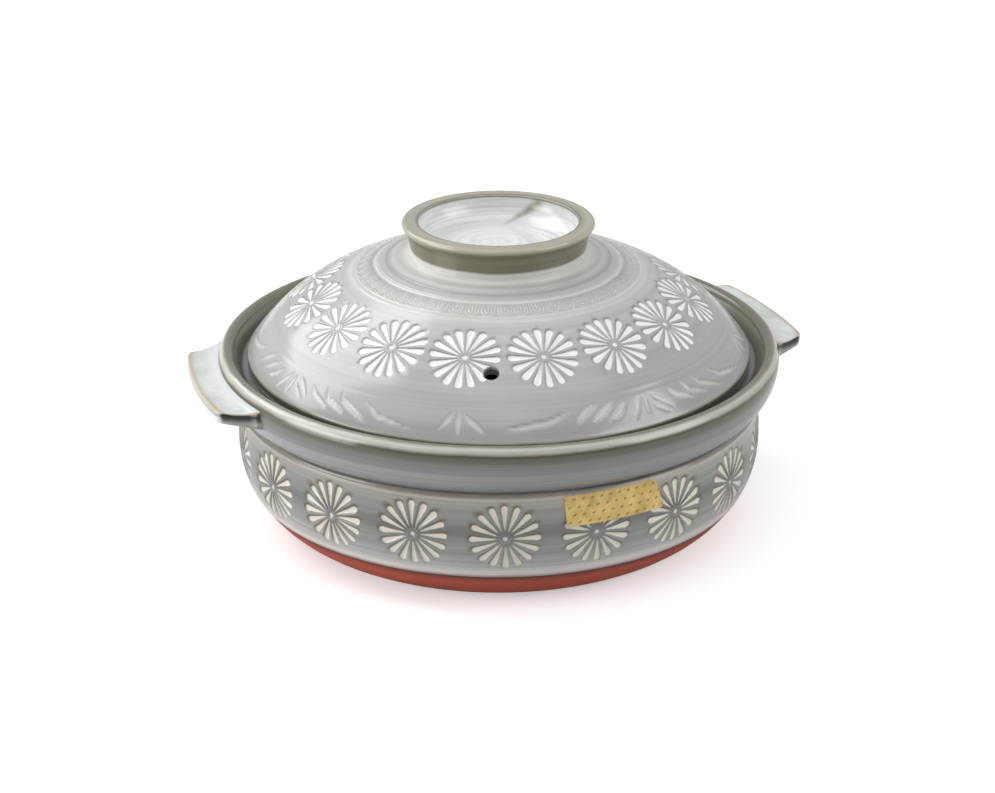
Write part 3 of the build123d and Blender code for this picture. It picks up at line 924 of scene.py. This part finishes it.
# Ring grip. The real one is thrown on the crown like a foot ring, with a rolled lip. Its dish is
# brushed with white slip, and the clear glaze pools to olive on its neck, which is darkened further
# with painted shade under the lip; a painted highlight runs round its foot.
ring_profile = (
    [(31, 145.0), (31, 147.2)] + bend((27.4, 161.5), 14.8, -72, -6, 12) + [(42.25, 161.3)]
    + bend((43.2, 161.0), 1.0, 165, 90, 5) + straight((44.5, 162.0), (48.6, 162.0), 4)
    + bend((49.2, 160.2), 1.8, 82, -82, 12) + [(48.9, 158.0), (48.45, 156.8), (48.05, 155.4), (47.8, 153.9),
                                             (47.4, 151.6), (46.95, 149.4), (46.6, 147.6), (46.4, 146.2),
                                             (46.3, 144.6), (46.3, 142.0), (38, 142.5), (31, 145.0)])
grip = turned("ring_grip_thrown", [ring_profile], 256)
close_up(grip)
mark(grip, "along", along_profile(grip, ring_profile))
ring_length = float(path_lengths(ring_profile)[-1])


def ring_at(radius, height):
    """The place along the ring's profile at a radius and height."""
    return place_on(ring_profile, radius, height)


ring_colours = [
    (0, (224, 225, 226)), (ring_at(38.5, 151.8), (222, 223, 223)), (ring_at(42.2, 160), (206, 206, 202)),
    (ring_at(43, 162), (118, 115, 102)), (ring_at(44.2, 162), (156, 153, 138)),
    (ring_at(48.5, 162), (160, 157, 142)), (ring_at(50.8, 161), (170, 167, 150)),
    # Dark olive neck under the rolled lip: pooled glaze with painted shade.
    (ring_at(50.8, 159.2), (132, 128, 108)), (ring_at(48.6, 157), (98, 94, 75)),
    (ring_at(47.8, 153.9), (112, 108, 90)), (ring_at(46.8, 148.6), (108, 104, 88)),
    # Painted highlight on the grip's foot, where it meets the lid.
    (ring_at(46.5, 147.1), (196, 195, 190)), (ring_length, (186, 185, 178)),
]
ring_gloss = [(0, 0.2), (ring_length, 0.14)]
smear_start = np.array([68.0, ring_at(31.5, 148.8)])
smear_end = np.array([40.0, ring_at(41.6, 158.6)])
mm_per_degree = 0.65
smear_run = (smear_end - smear_start) * (mm_per_degree, 1)
ring_places = points_of(grip)
smear_x = (np.degrees(np.arctan2(ring_places[:, 1], ring_places[:, 0])) - smear_start[0]) * mm_per_degree
smear_y = along_profile(grip, ring_profile) - smear_start[1]
smear_off, smear_place, _ = nearest_on([(0, 0), smear_run], smear_x, smear_y)
smear_share = smear_place / np.hypot(*smear_run)
mark(grip, "pooled_and_shaded", 0.95 * smear_share ** 0.6 * swell(smear_off, 0, 0.8 + 1.8 * smear_share))
grip.data.materials.append(stoneware("glaze_on_ring", ring_colours, ring_gloss, wheel_strength=0.7,
                                     pool_and_shade=fired(118, 118, 96), brushed_to=ring_at(42.2, 160)))
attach(grip, "lid")
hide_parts("lid_ring_grip")

# Label. The real one is a small slip of gold foil paper with rounded corners, stuck on askew under
# the collar. The one made here has rows of plain brown dashes all over it.
label_corners = [(13.75, 49.0), (35.75, 49.5), (33.5, 66.0), (13.0, 65.0)]
label_rows, label_columns = 28, 84
label_corner_cells = 4
label_lift = 0.35
label_thickness = 0.12
label_waviness = 0.12
dash_columns, dash_rows, dash_slant = 10.5, 4.0, 1.7
dash_half_length, dash_half_height = 0.24, 0.1  # in parts of the dashes' spacing


def rounded(row, column):
    """A place on the label as shares of its height and width, its corners rounded off."""
    middle_row, middle_column = label_rows / 2, label_columns / 2
    up, across = row - middle_row, column - middle_column
    over_up = abs(up) - (middle_row - label_corner_cells)
    over_across = abs(across) - (middle_column - label_corner_cells)
    if over_up > 0 and over_across > 0:
        drawn_in = max(over_up, over_across) / math.hypot(over_up, over_across)
        up = math.copysign(abs(up) - over_up * (1 - drawn_in), up)
        across = math.copysign(abs(across) - over_across * (1 - drawn_in), across)
    return 0.5 + up / label_rows, 0.5 + across / label_columns


label_vertices = []
label_shares = []
for row in range(label_rows + 1):
    for column in range(label_columns + 1):
        v, u = rounded(row, column)
        label_shares.append((u, v))
        low = np.array(label_corners[0]) * (1 - u) + np.array(label_corners[1]) * u
        high = np.array(label_corners[3]) * (1 - u) + np.array(label_corners[2]) * u
        turned_to, height = low * (1 - v) + high * v
        rise = height - belly_height
        radius = belly_radius - upper_wall_radius + math.sqrt(upper_wall_radius ** 2 - rise ** 2)
        radius += label_lift + label_waviness * math.sin(u * 9.0 + 1) * math.sin(v * 5 + 0.6)
        a = math.radians(turned_to + camera_direction)
        label_vertices.append((radius * math.cos(a), radius * math.sin(a), height))
stride = label_columns + 1
label_faces = [(r * stride + c, r * stride + c + 1, (r + 1) * stride + c + 1, (r + 1) * stride + c)
               for r in range(label_rows) for c in range(label_columns)]
label = new_piece("foil_label", label_vertices, faces=label_faces)
label_uv = label.data.uv_layers.new(name="label")
for loop in label.data.loops:
    label_uv.data[loop.index].uv = label_shares[loop.vertex_index]
pick(label)
paper = label.modifiers.new("paper", "SOLIDIFY")
paper.thickness = label_thickness * mm
paper.offset = -1
bpy.ops.object.modifier_apply(modifier=paper.name)
bpy.ops.object.shade_smooth_by_angle(angle=math.radians(40))
foil, foil_tree, foil_shader = new_material("gold_foil_paper")
foil_uv = node(foil_tree, "ShaderNodeUVMap", uv_map="label").outputs[0]
foil_across, foil_up = node(foil_tree, "ShaderNodeSeparateXYZ", (0, foil_uv)).outputs[:2]
foil_spot = node(foil_tree, "ShaderNodeTexCoord").outputs["Object"]
foil_grain = noise(foil_tree, foil_spot, 900, 3, 0.6)
foil_cloud = noise(foil_tree, foil_spot, 130, 3, 0.6)
foil_cloud = maths(foil_tree, "MULTIPLY_ADD", foil_cloud, 2.4, -0.7, clamp=True)
foil_tone = maths(foil_tree, "MULTIPLY_ADD", foil_grain, 0.5, maths(foil_tree, "MULTIPLY", foil_cloud, 0.5))
foil_colour = mixed(foil_tree, foil_tone, fired(150, 124, 66), fired(232, 206, 132))


def from_dash(share, count, offset):
    """How far each place is from the middle of its dash, in parts of the dashes' spacing."""
    turn = maths(foil_tree, "MULTIPLY_ADD", share, count, offset)
    return maths(foil_tree, "SUBTRACT", maths(foil_tree, "FRACT", turn), 0.5)


def squared_share(distance, half_size):
    """The square of a distance, counted in half sizes of a dash."""
    return maths(foil_tree, "POWER", maths(foil_tree, "DIVIDE", distance, half_size), 2.0)


dash_x = from_dash(foil_across, dash_columns, maths(foil_tree, "MULTIPLY", foil_up, dash_slant))
dash_y = maths(foil_tree, "MULTIPLY_ADD", dash_x, -0.5, from_dash(foil_up, dash_rows, 0.05))
dash_off = maths(foil_tree, "ADD", squared_share(dash_x, dash_half_length), squared_share(dash_y, dash_half_height))
dashes = maths(foil_tree, "MULTIPLY", maths(foil_tree, "LESS_THAN", dash_off, 1.0), 0.75)
foil_colour = mixed(foil_tree, dashes, foil_colour, fired(150, 70, 34))
foil_tree.links.new(foil_colour, foil_shader.inputs["Base Color"])
foil_roughness = maths(foil_tree, "MULTIPLY_ADD", foil_grain, 0.2, 0.25)
foil_tree.links.new(foil_roughness, foil_shader.inputs["Roughness"])
foil_shader.inputs["Metallic"].default_value = 0.35
roughen(foil_tree, foil_shader, foil_grain, 0.4, 0.0002)
label.data.materials.append(foil)
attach(label, "pot")

# Studio. A pale floor that the camera sees as white, a large soft panel overhead and two soft
# boxes at the left: one behind, which the lid reflects, and one low. A soft fill is at the right.
floor_glow = 0.42
world_light = 0.5
deselect_all()
bpy.ops.mesh.primitive_plane_add(size=24, location=(0, 0, 0))
floor = bpy.context.object
floor.name = "floor"
floor_material, floor_tree, floor_shader = new_material("studio_floor")
floor_shader.inputs["Base Color"].default_value = (0.8, 0.8, 0.8, 1)
floor_shader.inputs["Roughness"].default_value = 1.0
floor_shader.inputs["Specular IOR Level"].default_value = 0.0
seen = node(floor_tree, "ShaderNodeLightPath").outputs["Is Camera Ray"]
glow = node(floor_tree, "ShaderNodeEmission", ("Strength", maths(floor_tree, "MULTIPLY", seen, floor_glow)))
together = node(floor_tree, "ShaderNodeAddShader", (0, floor_shader.outputs[0]), (1, glow.outputs[0]))
floor_tree.links.new(together.outputs[0], floor_tree.nodes["Material Output"].inputs[0])
floor.data.materials.append(floor_material)


def lamp(name, size, place, power):
    """A square soft box of the given side, in metres, that faces the pot."""
    light = bpy.data.lights.new(name, "AREA")
    light.shape = "SQUARE"
    light.size = size
    light.energy = power
    holder = in_scene(name, light)
    holder.location = place
    holder.rotation_euler = (Vector(place) - Vector((0, 0, 0.08))).to_track_quat("Z", "Y").to_euler()


def around(azimuth, distance, height):
    """A place by its angle from the camera's side, as seen from above."""
    a = math.radians(azimuth + camera_turn)
    return (distance * math.sin(a), -distance * math.cos(a), height)


lamp("panel_overhead", 1.5, around(40, 0.4, 1.9), 6)
lamp("soft_box_left", 1.05, around(-116, 0.98, 0.98), 11)
lamp("soft_box_low", 0.8, around(-70, 1.35, 0.3), 11)
lamp("fill_right", 1.2, around(70, 1.7, 0.9), 14)

world = bpy.context.scene.world or bpy.data.worlds.new("studio")
bpy.context.scene.world = world
world.use_nodes = True
world_tree = world.node_tree
background = world_tree.nodes["Background"]
world_seen = node(world_tree, "ShaderNodeLightPath").outputs["Is Camera Ray"]
background.inputs["Color"].default_value = (1, 1, 1, 1)
world_strength = maths(world_tree, "MULTIPLY_ADD", world_seen, 1 - world_light, world_light)
world_tree.links.new(world_strength, background.inputs["Strength"])

bpy.context.scene.view_settings.view_transform = "Standard"
